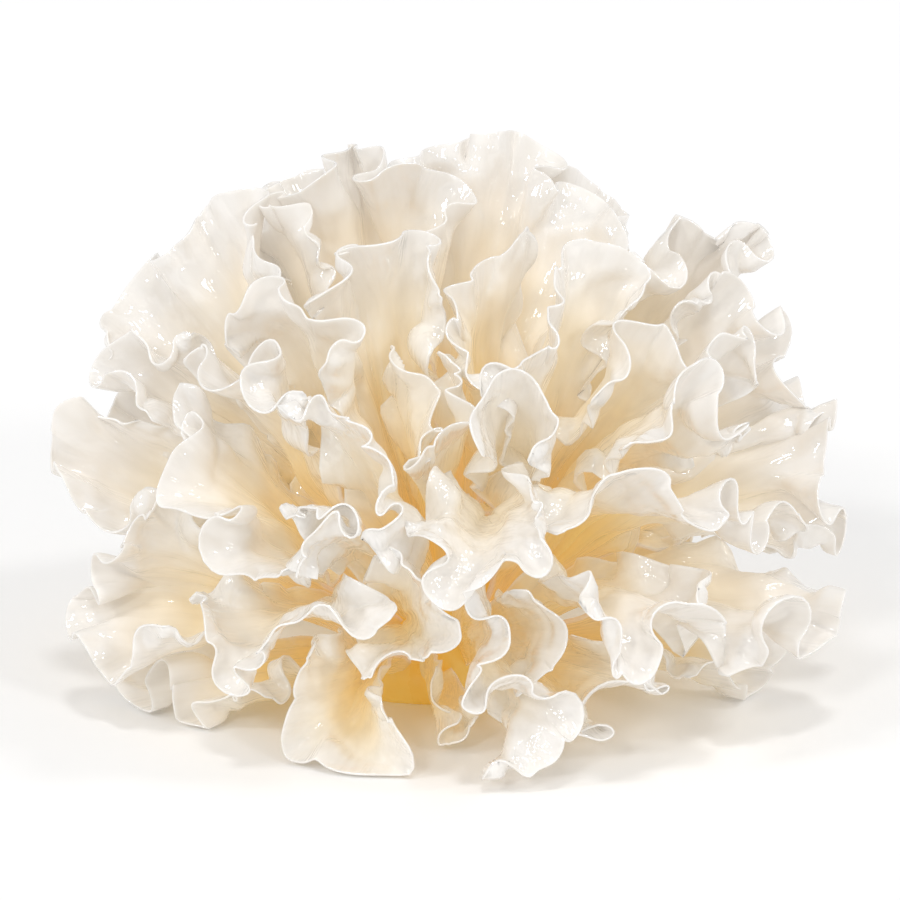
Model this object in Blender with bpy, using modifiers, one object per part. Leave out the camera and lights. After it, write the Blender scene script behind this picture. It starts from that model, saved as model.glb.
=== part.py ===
"""Snow fungus: a fresh white head of ruffled fronds that grow from one cut base.

The fronds are thin sheets. Each has a root on the base, a neck halfway out and a wavy rim.
Metres, +Z up, the cut face of the base on the floor with the origin at its middle.
The front of the head, which the photo shows, looks along -Y.
"""

import math

import bmesh
import bpy
import numpy as np
from mathutils import Vector
from mathutils.bvhtree import BVHTree

# Driving dimensions
MM = 0.001
WIDTH = 0.150  # the head from its far left lobe to its right tip
DOME_CENTRE = np.array((0.0, 0.0, 0.037))
DOME_RADII = np.array((0.073, 0.066, 0.067))  # the rims reach about as far as this rounded form
BASE_RADII = np.array((0.020, 0.019, 0.021))
BASE_CENTRE = np.array((0.0, 0.0, 0.003))
BASE_SIDES = 24
BASE_RINGS = 12
BASE_SHARP_EDGE = math.radians(50)  # where the cut face meets the rounded sides
GROWTH_CENTRE = np.array((0.0, 0.0, 0.004))  # the fronds fan out from here, deep in the base
RIM_THICKNESS = 0.0011
ROOT_THICKNESS = 0.0016
JOIN_GAP = 0.0003  # between a frond's root and the base
CLEARANCE = 0.0030  # between the middle surfaces of two fronds
FLOOR_LIFT = 0.0009  # lowest middle surface of a frond over the floor
BASE_CLEARANCE = 0.0026  # between a frond's middle surface and the base, past the root
STEM_CLEARANCE = 0.0018  # the same halfway from the root to the next row
THINNEST = 0.0004  # where two fronds nearly touch

# Looks
AMBER = (0.80, 0.55, 0.24)
BASE_ROUGHNESS = 0.45
CREAM = (0.93, 0.88, 0.76)
FROND_ROUGHNESS = 0.30

# How the photo sees the head
PHOTO_MIDDLE = 450.0
PHOTO_WIDTH_OF_HEAD = 818.0
METRES_PER_PIXEL = WIDTH / PHOTO_WIDTH_OF_HEAD
VIEW_ELEVATION = math.radians(18.0)
VIEW_DISTANCE = 0.80
VIEW_AIM = np.array((0.0, 0.0, 0.043))
VIEW_RIGHT = np.array((1.0, 0.0, 0.0))
VIEW_UP = np.array((0.0, math.sin(VIEW_ELEVATION), math.cos(VIEW_ELEVATION)))
VIEW_NEAR = np.array((0.0, -math.cos(VIEW_ELEVATION), math.sin(VIEW_ELEVATION)))
EYE = VIEW_AIM + VIEW_DISTANCE * VIEW_NEAR

# How a frond is divided and shaped
ROWS = np.array((0.0, 0.36, 0.64, 0.85, 1.0))  # from root to rim
COLUMN_WIDTH = 0.0054
BACK_COLUMN_WIDTH = 0.0066
FEWEST_COLUMNS = 6
GATHER = 0.45  # width of the neck beside the rim's
ROOT_WIDTH = 0.0085
CURVE_STEPS = 12  # between two points of a rim

# How the fronds make room for each other
SETTLING_STEPS = 40
MOST_PUSH = 0.0012  # in one step
STIFFNESS = 0.25  # share of a point's move that its neighbours in the sheet even out
STEM_ROWS = 3  # rows beside the base that only bend smoothly
SIDEWAYS = 0.25  # share of a push along the sheet that is kept; a push across it is kept whole
OWN_FOLD = 0.009  # parts of one sheet closer than this along it don't push each other
TOUCHING = 1e-7
SMALLEST_AREA = 1e-12
FOLD_SHARE = 0.8  # of the thickness at which a fold's two sides would just meet

# Fronds that the photo shows. rim: photo points along the rim; near: how far the rim lies in front
# of the aim, in millimetres, at even steps along it; neck: photo point where the frond passes
# halfway; neck_near: how far the neck is moved towards the viewer; wave: ruffles along the rim
# (how many, height in millimetres, phase).
FRONT_FRONDS = {
    "frond_upper_left": dict(
        rim=[(241, 300), (253, 245), (256, 220), (231, 203), (203, 214), (190, 235), (166, 262),
             (140, 283), (126, 305), (114, 340)],
        near=(14, 6, 2, 0, 0), neck=(285, 425), wave=(2.5, 4.0, 0.1)),
    "frond_top_left": dict(
        rim=[(285, 258), (270, 212), (290, 196), (318, 164), (345, 153), (383, 145), (388, 175),
             (407, 162), (428, 172), (446, 225), (440, 258)],
        near=(10, 3, -1, -3, -1, 3, 10), neck=(395, 370), neck_near=-2, wave=(3.0, 4.0, 0.3)),
    "frond_top_middle": dict(
        rim=[(440, 185), (442, 145), (479, 131), (486, 123), (520, 142), (530, 165), (560, 203),
             (600, 207), (603, 250)],
        near=(-4, -6, -8, -8, -4, 0, 4), neck=(480, 360), wave=(2.5, 4.0, 0.6)),
    "frond_top_right": dict(
        rim=[(626, 262), (638, 272), (656, 243), (664, 225), (700, 234), (708, 214), (740, 224),
             (768, 250), (760, 274), (735, 287)],
        near=(6, 4, 0, -4, -2, 4), neck=(590, 400), neck_near=-3, wave=(2.5, 4.0, 0.0)),
    "frond_right_shoulder": dict(
        rim=[(690, 300), (725, 284), (757, 307), (777, 318), (784, 340), (776, 372), (794, 384),
             (786, 410), (796, 440)],
        near=(12, 4, 0, -2, -4, -4), neck=(615, 455), neck_near=-2, wave=(2.5, 3.0, 0.4)),
    "frond_right_horn": dict(
        rim=[(800, 440), (812, 416), (839, 408), (832, 445), (823, 480), (845, 492), (860, 525),
             (830, 550), (808, 558)],
        near=(6, 4, 3, 4, 5), neck=(640, 510), wave=(2.0, 3.0, 0.2)),
    "frond_lower_right": dict(
        rim=[(822, 572), (843, 594), (838, 620), (800, 638), (765, 645), (735, 640)],
        near=(14, 18, 22, 28, 32, 34), neck=(640, 568), wave=(2.0, 3.0, 0.7)),
    "frond_far_left": dict(
        rim=[(130, 434), (100, 440), (84, 412), (62, 410), (43, 440), (44, 466), (60, 490),
             (75, 510), (110, 516), (145, 500)],
        near=(4, 1, 2, 6, 10), neck=(260, 525), wave=(2.5, 1.5, 0.0)),
    "frond_left_curl": dict(
        rim=[(185, 362), (150, 352), (118, 358), (108, 385), (122, 410), (150, 428)],
        near=(12, 7, 5, 7, 10), neck=(264, 462), neck_near=-1, wave=(1.5, 2.0, 0.5)),
    "frond_lower_left": dict(
        rim=[(150, 520), (125, 526), (102, 545), (104, 580), (84, 592), (76, 625), (100, 655),
             (132, 661), (172, 652)],
        near=(19, 12, 8, 10, 18, 28), neck=(265, 590), neck_near=1, wave=(2.5, 3.0, 0.3)),
    "frond_left_foot": dict(
        rim=[(112, 662), (131, 695), (168, 686), (176, 708), (212, 732), (244, 700), (256, 678)],
        near=(2, 6, 10, 14, 18, 22, 24), neck=(300, 655), wave=(2.0, 2.0, 0.0)),
    "frond_crumpled_cap": dict(
        rim=[(312, 290), (322, 262), (362, 256), (380, 243), (412, 247), (436, 265), (440, 300)],
        near=(26, 24, 22, 22, 24, 26, 28), neck=(400, 430), neck_near=4, wave=(2.5, 3.0, 0.0)),
    "frond_left_middle": dict(
        rim=[(250, 335), (262, 312), (294, 293), (322, 308), (326, 325), (348, 326), (361, 345),
             (350, 374)],
        near=(24, 28, 32, 35, 37), neck=(343, 436), neck_near=1, wave=(2.0, 2.0, 0.2)),
    "frond_left_sheet": dict(
        rim=[(198, 352), (222, 354), (243, 372), (268, 362), (300, 398)],
        near=(16, 24, 32, 40), neck=(318, 470), wave=(2.0, 3.0, 0.5)),
    "frond_left_ring": dict(
        rim=[(202, 402), (190, 420), (220, 446), (192, 465), (225, 500), (238, 515), (225, 540),
             (262, 547), (287, 556)],
        near=(24, 24, 30, 32, 38, 38, 44), neck=(310, 530), wave=(2.0, 2.0, 0.5)),
    "frond_inner_ribbon": dict(
        rim=[(306, 400), (312, 424), (335, 430), (358, 420), (383, 442), (374, 470), (397, 512),
             (384, 545)],
        near=(44, 44, 46, 50, 53, 54), neck=(402, 525), neck_near=3, wave=(3.0, 1.5, 0.2)),
    "frond_middle_ridge": dict(
        rim=[(530, 238), (497, 267), (462, 290), (452, 315), (465, 355), (490, 368)],
        near=(12, 16, 20, 26, 30, 32), neck=(478, 440), wave=(2.0, 2.0, 0.5)),
    "frond_sweeping": dict(
        rim=[(603, 312), (620, 275), (606, 250), (572, 266), (562, 290), (570, 335), (540, 352),
             (512, 362), (506, 390)],
        near=(22, 18, 16, 20, 26, 34, 38, 42, 42), neck=(535, 450), wave=(2.0, 1.0, 0.2)),
    "frond_right_middle": dict(
        rim=[(582, 388), (600, 362), (645, 339), (700, 346), (738, 342), (745, 362)],
        near=(34, 32, 28, 24, 20, 16), neck=(575, 455), neck_near=0, wave=(2.0, 3.0, 0.1)),
    "frond_right_ribbon": dict(
        rim=[(632, 452), (658, 428), (672, 395), (690, 388), (706, 415), (722, 449), (750, 455)],
        near=(42, 40, 38, 36, 34, 30, 26), neck=(590, 478), wave=(2.0, 2.0, 0.6)),
    "frond_right_crumpled": dict(
        rim=[(562, 510), (582, 486), (622, 484), (650, 499), (690, 505), (728, 510), (760, 519),
             (800, 508)],
        near=(50, 50, 50, 48, 44, 38, 28, 18), neck=(590, 520), neck_near=3, wave=(3.0, 3.0, 0.0)),
    "frond_ear": dict(
        rim=[(404, 350), (421, 380), (412, 430), (437, 480), (440, 448), (480, 410), (485, 394),
             (445, 370)],
        near=(26, 30, 34, 42, 42, 38, 34, 30), neck=(442, 500), wave=(1.0, 1.0, 0.5)),
    "frond_ring_curl": dict(
        rim=[(500, 448), (495, 415), (512, 396), (540, 402), (556, 440), (537, 463)],
        near=(50, 50, 48, 46, 46, 48), neck=(515, 500), wave=(1.0, 1.0, 0.5)),
    "frond_trumpet": dict(
        rim=[(412, 524), (430, 556), (468, 590), (492, 574), (540, 567), (551, 545), (543, 505)],
        near=(50, 54, 58, 60, 58, 56, 52), neck=(490, 500), neck_near=8, wave=(2.0, 2.0, 0.5)),
    "frond_c_curl": dict(
        rim=[(284, 510), (318, 494), (346, 504), (350, 530), (330, 545), (303, 562), (302, 576)],
        near=(48, 52, 56, 56, 56, 55, 54), neck=(358, 555), neck_near=4, wave=(2.0, 1.0, 0.5)),
    "frond_front_left": dict(
        rim=[(213, 600), (208, 640), (248, 675), (293, 653), (308, 620), (350, 624), (380, 608)],
        near=(30, 34, 40, 44, 48, 50, 50), neck=(306, 608), neck_near=5, wave=(2.0, 2.0, 0.5)),
    "frond_bowl": dict(
        rim=[(398, 550), (415, 568), (440, 610), (452, 632), (427, 666), (371, 676)],
        near=(50, 50, 50, 48, 44, 40), neck=(395, 610), neck_near=2, wave=(2.0, 2.0, 0.5)),
    "frond_foot": dict(
        rim=[(322, 648), (300, 682), (314, 718), (339, 749), (365, 765), (379, 745), (366, 700)],
        near=(36, 34, 34, 37, 39, 38, 36), neck=(372, 655), neck_near=1, wave=(1.5, 2.0, 0.5)),
    "frond_low_amber": dict(
        rim=[(428, 672), (421, 720), (455, 743), (478, 722)],
        near=(24, 25, 27, 27), neck=(440, 660), wave=(1.0, 1.5, 0.5)),
    "frond_front_ribbon": dict(
        rim=[(477, 592), (470, 612), (490, 648), (481, 697), (515, 712), (558, 714), (540, 744),
             (497, 775)],
        near=(50, 50, 50, 48, 47, 46, 46, 45), neck=(475, 640), neck_near=4, wave=(2.0, 2.0, 0.5)),
    "frond_scalloped": dict(
        rim=[(519, 606), (547, 623), (535, 656), (510, 663)],
        near=(42, 42, 41, 40), neck=(500, 620), wave=(1.0, 1.0, 0.5)),
    "frond_low_middle": dict(
        rim=[(548, 742), (585, 757), (601, 740), (612, 705), (630, 712), (662, 684), (662, 662)],
        near=(36, 37, 35, 33, 32, 30, 30), neck=(550, 665), wave=(2.0, 2.0, 0.5)),
    "frond_front_right": dict(
        rim=[(580, 608), (590, 652), (622, 674), (659, 638), (694, 646), (713, 630), (704, 590)],
        near=(54, 54, 52, 50, 46, 42, 38), neck=(575, 585), neck_near=6, wave=(2.0, 2.0, 0.5)),
    "frond_low_right": dict(
        rim=[(690, 675), (731, 700), (757, 669), (783, 658), (752, 615), (722, 608)],
        near=(14, 6, 4, 2, 6, 12), neck=(600, 640), wave=(2.0, 2.0, 0.5)),
}

# The rims of the fronds behind
BACK_RIM_POINTS = 9
BACK_BEND = math.radians(7.0)  # how far a rim wanders to each side of its slant
BACK_BEND_COUNT = 2.2
BACK_ROUNDING = 0.10  # share by which a rim's ends lie further in than its middle
BACK_LIFT = 0.0035  # how far a neck lies to one side of the straight way out

# Fronds behind, made up to match: the middle of the rim on the dome and the rim's span and slant,
# all in degrees, and how far out the rim lies on the dome, as a share.
BACK_FRONDS = {
    "frond_back_top_left": dict(azimuth=215, elevation=50, span=42, slant=8, out=0.93),
    "frond_back_top_right": dict(azimuth=154, elevation=50, span=42, slant=-10, out=0.93,
                                 wave=(2.5, 4.0, 0.5)),
    "frond_back_middle_left": dict(azimuth=222, elevation=22, span=40, slant=-20, out=0.98,
                                   wave=(2.5, 4.0, 0.2)),
    "frond_back_middle": dict(azimuth=180, elevation=20, span=38, slant=16, out=0.98,
                              wave=(2.5, 4.0, 0.7)),
    "frond_back_middle_right": dict(azimuth=138, elevation=22, span=40, slant=-16, out=0.98,
                                    wave=(2.5, 4.0, 0.4)),
    "frond_back_low_left": dict(azimuth=246, elevation=0, span=34, slant=-10, out=0.93),
    "frond_back_lower_left": dict(azimuth=224, elevation=-8, span=36, slant=20, out=0.98,
                                  wave=(2.0, 4.0, 0.4)),
    "frond_back_lower_middle": dict(azimuth=188, elevation=-8, span=40, slant=-20, out=1.0,
                                    wave=(2.0, 4.0, 0.1)),
    "frond_back_lower_right": dict(azimuth=150, elevation=-8, span=36, slant=16, out=1.0,
                                   wave=(2.0, 4.0, 0.8)),
    "frond_back_low_right": dict(azimuth=114, elevation=0, span=40, slant=-20, out=0.93,
                                 wave=(2.0, 4.0, 0.3)),
}


def unit(vectors):
    """The same vectors at length one."""
    return vectors / np.linalg.norm(vectors, axis=-1, keepdims=True)


def photo_ray(point):
    """Direction from the viewer's eye through a photo point."""
    across = (point[0] - PHOTO_MIDDLE) * METRES_PER_PIXEL
    up = (PHOTO_MIDDLE - point[1]) * METRES_PER_PIXEL
    return unit(VIEW_AIM + across * VIEW_RIGHT + up * VIEW_UP - EYE)


def at_depth(point, nearness):
    """The place on a photo point's ray that lies nearness in front of the aim."""
    ray = photo_ray(point)
    travel = (nearness - VIEW_DISTANCE) / (ray @ VIEW_NEAR)
    return EYE + travel * ray


def smooth_curve(points, count):
    """count evenly spaced places on a Catmull-Rom curve through the points."""
    points = np.array(points)
    ends = 2 * points[[0, -1]] - points[[1, -2]]
    padded = np.vstack((ends[:1], points, ends[1:]))
    fine = []
    for p0, p1, p2, p3 in zip(padded, padded[1:], padded[2:], padded[3:]):
        for t in np.linspace(0.0, 1.0, CURVE_STEPS, endpoint=False):
            fine.append(0.5 * (2 * p1 + (p2 - p0) * t + (2 * p0 - 5 * p1 + 4 * p2 - p3) * t**2
                               + (3 * p1 - p0 - 3 * p2 + p3) * t**3))
    fine = np.array(fine + [points[-1]])
    length = np.concatenate(([0.0], np.cumsum(np.linalg.norm(np.diff(fine, axis=0), axis=1))))
    places = np.linspace(0.0, length[-1], count)
    return np.stack([np.interp(places, length, fine[:, axis]) for axis in range(3)], axis=1)


def curve_length(points):
    return np.linalg.norm(np.diff(np.array(points), axis=0), axis=1).sum()


def soft_bend(row):
    """The plain quadratic curve that follows a row of vectors most closely."""
    u = np.linspace(-1.0, 1.0, len(row))
    return np.stack([np.polyval(np.polyfit(u, row[:, axis], 2), u) for axis in range(3)], axis=1)


def sheet_normals(sheet):
    """The direction across a sheet at each point of its grid."""
    normal = np.cross(np.gradient(sheet, axis=1), np.gradient(sheet, axis=0))
    return normal / np.maximum(np.linalg.norm(normal, axis=-1, keepdims=True), SMALLEST_AREA)


def divided_rim(places, column_width):
    """The rim's smooth curve, with one place for each column of the sheet."""
    return smooth_curve(places, max(FEWEST_COLUMNS, round(curve_length(places) / column_width) + 1))


def on_base(directions, gap):
    """Places on the base's rounded surface, seen from the growth centre, with a gap to it."""
    radii = BASE_RADII + gap
    start = (GROWTH_CENTRE - BASE_CENTRE) / radii
    step = directions / radii
    a = (step * step).sum(axis=-1)
    b = (step * start).sum(axis=-1)
    c = start @ start - 1.0
    travel = (-b + np.sqrt(b * b - a * c)) / a
    return GROWTH_CENTRE + travel[..., None] * directions


def front_frond(rim, near, neck, neck_near=0.0, wave=(2.0, 2.0, 0.0)):
    """Rim curve and neck middle of a frond that the photo shows."""
    nearness = np.interp(np.linspace(0, 1, len(rim)), np.linspace(0, 1, len(near)), near) * MM
    places = [at_depth(point, depth) for point, depth in zip(rim, nearness)]
    edge = divided_rim(places, COLUMN_WIDTH)
    root_depth = (GROWTH_CENTRE - VIEW_AIM) @ VIEW_NEAR
    middle = at_depth(neck, 0.5 * (nearness.mean() + root_depth) + neck_near * MM)
    return edge, middle, wave


def dome_direction(azimuth, elevation):
    """Azimuth 0 is the front, 90 the right side and 180 the back; degrees."""
    a, e = math.radians(azimuth), math.radians(elevation)
    return np.array((math.cos(e) * math.sin(a), -math.cos(e) * math.cos(a), math.sin(e)))


def back_frond(azimuth, elevation, span, slant, out, wave=(2.5, 5.0, 0.0)):
    """A frond on the side that the photo doesn't show: its rim crosses the dome at a slant."""
    middle = dome_direction(azimuth, elevation)
    level = dome_direction(azimuth + 90.0, 0.0)
    upward = np.cross(level, middle)
    along = level * math.cos(math.radians(slant)) + upward * math.sin(math.radians(slant))
    across = np.cross(middle, along)
    places = []
    for s in np.linspace(-1.0, 1.0, BACK_RIM_POINTS):
        turn = math.radians(span / 2) * s
        bend = BACK_BEND * math.sin(math.pi * BACK_BEND_COUNT * s + 2 * math.pi * wave[2])
        direction = unit(middle * math.cos(turn) + along * math.sin(turn) + across * math.sin(bend))
        place = DOME_CENTRE + out * (1.0 - BACK_ROUNDING * s * s) * DOME_RADII * direction
        place[2] = max(place[2], FLOOR_LIFT)
        places.append(place)
    edge = divided_rim(places, BACK_COLUMN_WIDTH)
    straight = 0.5 * (GROWTH_CENTRE + edge.mean(axis=0))
    return edge, straight + BACK_LIFT * across, wave


def frond_sheet(edge, neck_middle, wave):
    """The frond's middle surface, rows by columns by xyz, and the same laid out flat."""
    u = np.linspace(-1.0, 1.0, len(edge))
    arc = soft_bend(edge)
    neck = neck_middle + GATHER * (arc - arc.mean(axis=0))
    neck_directions = unit(neck - GROWTH_CENTRE)
    middle = unit(neck_directions.mean(axis=0))
    base_distance = np.linalg.norm(on_base(middle, JOIN_GAP) - GROWTH_CENTRE)
    spread_width = max(curve_length(neck_directions) * base_distance, ROOT_WIDTH)
    root_directions = unit(middle + (neck_directions - middle) * ROOT_WIDTH / spread_width)
    root = on_base(root_directions, JOIN_GAP)
    control = 2.0 * neck - 0.5 * (root + arc)
    v = ROWS[:, None, None]
    folded = arc + v**2 * (edge - arc)
    sheet = (1 - v) ** 2 * root + 2 * v * (1 - v) * control + v**2 * folded
    count, height, phase = wave
    ripple = height * MM * np.sin(math.pi * count * (u + 1.0) + 2 * math.pi * phase)
    sheet = sheet + v**3 * ripple[None, :, None] * sheet_normals(sheet)
    reach = np.linalg.norm(sheet - root, axis=-1)
    width = ROOT_WIDTH + (curve_length(edge) - ROOT_WIDTH) * ROWS
    flat = np.stack((0.5 * width[:, None] * u, reach), axis=-1)
    return sheet, flat


def fold_room(sheet):
    """How thick a sheet may be at its points before its folds would run into themselves."""
    normal = sheet_normals(sheet)
    room = np.full(sheet.shape[:2], ROOT_THICKNESS)
    for axis in (0, 1):
        step = np.linalg.norm(np.diff(sheet, axis=axis), axis=-1)
        turn = np.linalg.norm(np.diff(normal, axis=axis), axis=-1)
        free = FOLD_SHARE * step / np.maximum(turn, TOUCHING)
        before, after = np.swapaxes(room, 0, axis)[:-1], np.swapaxes(room, 0, axis)[1:]
        free = np.swapaxes(free, 0, axis)
        before[:] = np.minimum(before, free)
        after[:] = np.minimum(after, free)
    return room


class Thicket:
    """All fronds at once, moved apart in small steps until each has room."""

    def __init__(self, sheets):
        self.target = np.concatenate([sheet.reshape(-1, 3) for sheet, _ in sheets])
        flat = np.concatenate([laid_out.reshape(-1, 2) for _, laid_out in sheets])
        self.grids, cells, samples = [], [], []
        first = 0
        for sheet, _ in sheets:
            rows, columns, _ = sheet.shape
            grid = first + np.arange(rows * columns).reshape(rows, columns)
            corners = (grid[:-1, :-1], grid[:-1, 1:], grid[1:, 1:], grid[1:, :-1])
            cells.append(np.stack(corners, axis=-1).reshape(-1, 4))
            samples += [cells[-1], *self.places_between(grid)]
            self.grids.append(grid)
            first += rows * columns
        owner = np.concatenate([np.full(grid.size, n) for n, grid in enumerate(self.grids)])
        self.cells = np.concatenate(cells)
        self.samples = np.concatenate(samples)
        self.roots = np.concatenate([grid[0] for grid in self.grids])
        self.collars = np.concatenate([grid[1] for grid in self.grids])
        self.cell_owner = owner[self.cells[:, 0]].tolist()
        self.sample_owner = owner[self.samples[:, 0]].tolist()
        self.cell_flat = flat[self.cells].mean(axis=1)
        self.sample_flat = flat[self.samples].mean(axis=1)
        self.limit = np.linalg.norm(self.target - GROWTH_CENTRE, axis=1, keepdims=True)

    def places_between(self, grid):
        """Groups of four grid points whose means are points and middles of edges of a sheet."""
        yield np.repeat(grid[:2, ::2].reshape(-1, 1), 4, axis=1)
        yield np.repeat(grid[2:].reshape(-1, 1), 4, axis=1)
        for ends in ((grid[2:, :-1], grid[2:, 1:]), (grid[1:-1], grid[2:])):
            pairs = np.stack(ends, axis=-1).reshape(-1, 2)
            yield np.concatenate((pairs, pairs), axis=1)

    def close_spots(self, points):
        """Each sample with the spots of other sheets, and of its own far folds, that are near."""
        tree = BVHTree.FromPolygons([Vector(p) for p in points], self.cells.tolist())
        for number, place in enumerate(points[self.samples].mean(axis=1)):
            spots = []
            for spot, _, cell, distance in tree.find_nearest_range(Vector(place), CLEARANCE):
                apart = np.linalg.norm(self.sample_flat[number] - self.cell_flat[cell])
                own = self.cell_owner[cell] == self.sample_owner[number]
                if distance > TOUCHING and not (own and apart < OWN_FOLD):
                    spots.append((spot, distance))
            if spots:
                yield number, Vector(place), spots

    def crowding(self, points):
        """How far each point should move to keep clear."""
        push = np.zeros_like(points)
        count = np.zeros((len(points), 1))
        for number, place, spots in self.close_spots(points):
            moves = [(place - spot) * ((CLEARANCE - distance) / distance) for spot, distance in spots]
            np.add.at(push, self.samples[number], np.array(sum(moves, Vector()) / len(moves)))
            np.add.at(count, self.samples[number], 1.0)
        return push / np.maximum(count, 1.0)

    def across_sheets(self, push, points):
        """The push with most of its part along each sheet taken away."""
        kept = push.copy()
        for grid in self.grids:
            normal = sheet_normals(points[grid])
            field = push[grid]
            across = (field * normal).sum(axis=-1, keepdims=True) * normal
            kept[grid] = across + SIDEWAYS * (field - across)
        return kept

    def kept_outside(self, points):
        """Points moved over the floor and out of the base, with the roots on the base."""
        from_centre = points - GROWTH_CENTRE
        reach = np.linalg.norm(from_centre, axis=1, keepdims=True)
        points = GROWTH_CENTRE + from_centre * np.minimum(1.0, self.limit / reach)
        points[:, 2] = np.maximum(points[:, 2], FLOOR_LIFT)
        reach = np.linalg.norm(points - GROWTH_CENTRE, axis=1)
        directions = unit(points - GROWTH_CENTRE)
        surface = on_base(directions, BASE_CLEARANCE)
        inside = reach < np.linalg.norm(surface - GROWTH_CENTRE, axis=1)
        points[inside] = surface[inside]
        points[self.roots] = on_base(directions[self.roots], JOIN_GAP)
        stems = 0.5 * (points[self.roots] + points[self.collars]) - GROWTH_CENTRE
        needed = on_base(unit(stems), STEM_CLEARANCE) - GROWTH_CENTRE
        short = np.linalg.norm(needed, axis=1) - np.linalg.norm(stems, axis=1)
        points[self.collars] += 2.0 * np.maximum(short, 0.0)[:, None] * directions[self.collars]
        return points

    def evened(self, field):
        """The field shared out among neighbouring points of each sheet."""
        field = field.copy()
        for grid in self.grids:
            part = field[grid]
            for axis in (0, 1):
                last = part.shape[axis] - 1
                before = part.take(np.maximum(np.arange(last + 1) - 1, 0), axis)
                after = part.take(np.minimum(np.arange(last + 1) + 1, last), axis)
                part = (1 - STIFFNESS) * part + 0.5 * STIFFNESS * (before + after)
            for row in range(STEM_ROWS):
                part[row] = soft_bend(part[row])
            field[grid] = part
        return field

    def settle(self):
        """The sheets once they have made room, each with how thick it may be at its points."""
        points = self.kept_outside(self.target)
        for _ in range(SETTLING_STEPS):
            push = self.across_sheets(self.crowding(points), points)
            size = np.linalg.norm(push, axis=1, keepdims=True)
            push = push * np.minimum(1.0, MOST_PUSH / np.maximum(size, TOUCHING))
            moved = self.kept_outside(points + push) - self.target
            points = self.kept_outside(self.target + self.evened(moved))
        room = np.full(len(points), ROOT_THICKNESS)
        for number, _, spots in self.close_spots(points):
            nearest = min(distance for _, distance in spots)
            corners = self.samples[number]
            room[corners] = np.minimum(room[corners], nearest - JOIN_GAP)
        sheets = [points[grid] for grid in self.grids]
        rooms = [np.minimum(room[grid], fold_room(points[grid])) for grid in self.grids]
        return [(sheet, np.maximum(room, THINNEST)) for sheet, room in zip(sheets, rooms)]


def grow_fronds():
    sheets = {name: frond_sheet(*front_frond(**frond)) for name, frond in FRONT_FRONDS.items()}
    for name, frond in BACK_FRONDS.items():
        sheets[name] = frond_sheet(*back_frond(**frond))
    return dict(zip(sheets, Thicket(list(sheets.values())).settle()))


def plain_material(name, colour, roughness):
    material = bpy.data.materials.new(name)
    material.use_nodes = True
    shader = material.node_tree.nodes["Principled BSDF"]
    shader.inputs["Base Color"].default_value = (*colour, 1.0)
    shader.inputs["Roughness"].default_value = roughness
    shader.inputs["Metallic"].default_value = 0.0
    return material


def make_base(collection, material):
    """The holdfast: a rounded knob, cut flat where it grew on the wood."""
    mesh = bpy.data.meshes.new("base")
    shape = bmesh.new()
    bmesh.ops.create_uvsphere(shape, u_segments=BASE_SIDES, v_segments=BASE_RINGS, radius=1.0)
    for vertex in shape.verts:
        vertex.co = Vector(np.array(vertex.co) * BASE_RADII + BASE_CENTRE)
    bmesh.ops.bisect_plane(shape, geom=shape.verts[:] + shape.edges[:] + shape.faces[:],
                           plane_co=(0, 0, 0), plane_no=(0, 0, -1), clear_outer=True)
    bmesh.ops.holes_fill(shape, edges=[edge for edge in shape.edges if edge.is_boundary])
    bmesh.ops.recalc_face_normals(shape, faces=shape.faces)
    shape.to_mesh(mesh)
    shape.free()
    mesh.shade_smooth()
    mesh.set_sharp_from_angle(angle=BASE_SHARP_EDGE)
    mesh.materials.append(material)
    piece = bpy.data.objects.new("base", mesh)
    collection.objects.link(piece)


def make_frond(name, grid, room, collection, material):
    """A sheet on a square grid, thick at the root and thin at the rim."""
    rows, columns, _ = grid.shape
    mesh = bpy.data.meshes.new(name)
    shape = bmesh.new()
    bmesh.ops.create_grid(shape, x_segments=columns - 1, y_segments=rows - 1, size=0.5)
    usual = RIM_THICKNESS + (ROOT_THICKNESS - RIM_THICKNESS) * (1.0 - ROWS)
    thickness = np.minimum(usual[:, None], room)
    share = (thickness - THINNEST) / (ROOT_THICKNESS - THINNEST)
    shares = []
    for vertex in shape.verts:
        column = round((vertex.co.x + 0.5) * (columns - 1))
        row = round((vertex.co.y + 0.5) * (rows - 1))
        vertex.co = Vector(grid[row, column])
        shares.append(float(share[row, column]))
    bmesh.ops.triangulate(shape, faces=shape.faces, quad_method="SHORT_EDGE")
    shape.to_mesh(mesh)
    shape.free()
    mesh.materials.append(material)
    mesh.shade_smooth()
    piece = bpy.data.objects.new(name, mesh)
    collection.objects.link(piece)
    thinning = piece.vertex_groups.new(name="thickness")
    for index, weight in enumerate(shares):
        thinning.add([index], weight, "REPLACE")
    wall = piece.modifiers.new("wall", "SOLIDIFY")
    wall.thickness = ROOT_THICKNESS
    wall.thickness_vertex_group = THINNEST / ROOT_THICKNESS
    wall.vertex_group = thinning.name
    wall.offset = 0.0


def main():
    for old in list(bpy.data.objects):
        bpy.data.objects.remove(old)
    collection = bpy.data.collections.new("snow_fungus")
    bpy.context.scene.collection.children.link(collection)
    make_base(collection, plain_material("base_flesh", AMBER, BASE_ROUGHNESS))
    flesh = plain_material("frond_flesh", CREAM, FROND_ROUGHNESS)
    for name, (grid, room) in grow_fronds().items():
        make_frond(name, grid, room, collection, flesh)


main()
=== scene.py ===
# %% [markdown]
# A fresh head of snow fungus, the white jelly fungus that grows on dead wood. Thin wet sheets
# fork from one amber base, and their free edges grow faster than their middles, so they ruffle.
# The packed model gives each frond's place and reach. This script gives it a living surface: it
# reads each frond's solid, draws a fine sheet through it, folds the sheet and wets its skin.

# %% Frame
import math

import bmesh
import bpy
import numpy as np
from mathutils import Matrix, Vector
from mathutils.bvhtree import BVHTree


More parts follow.
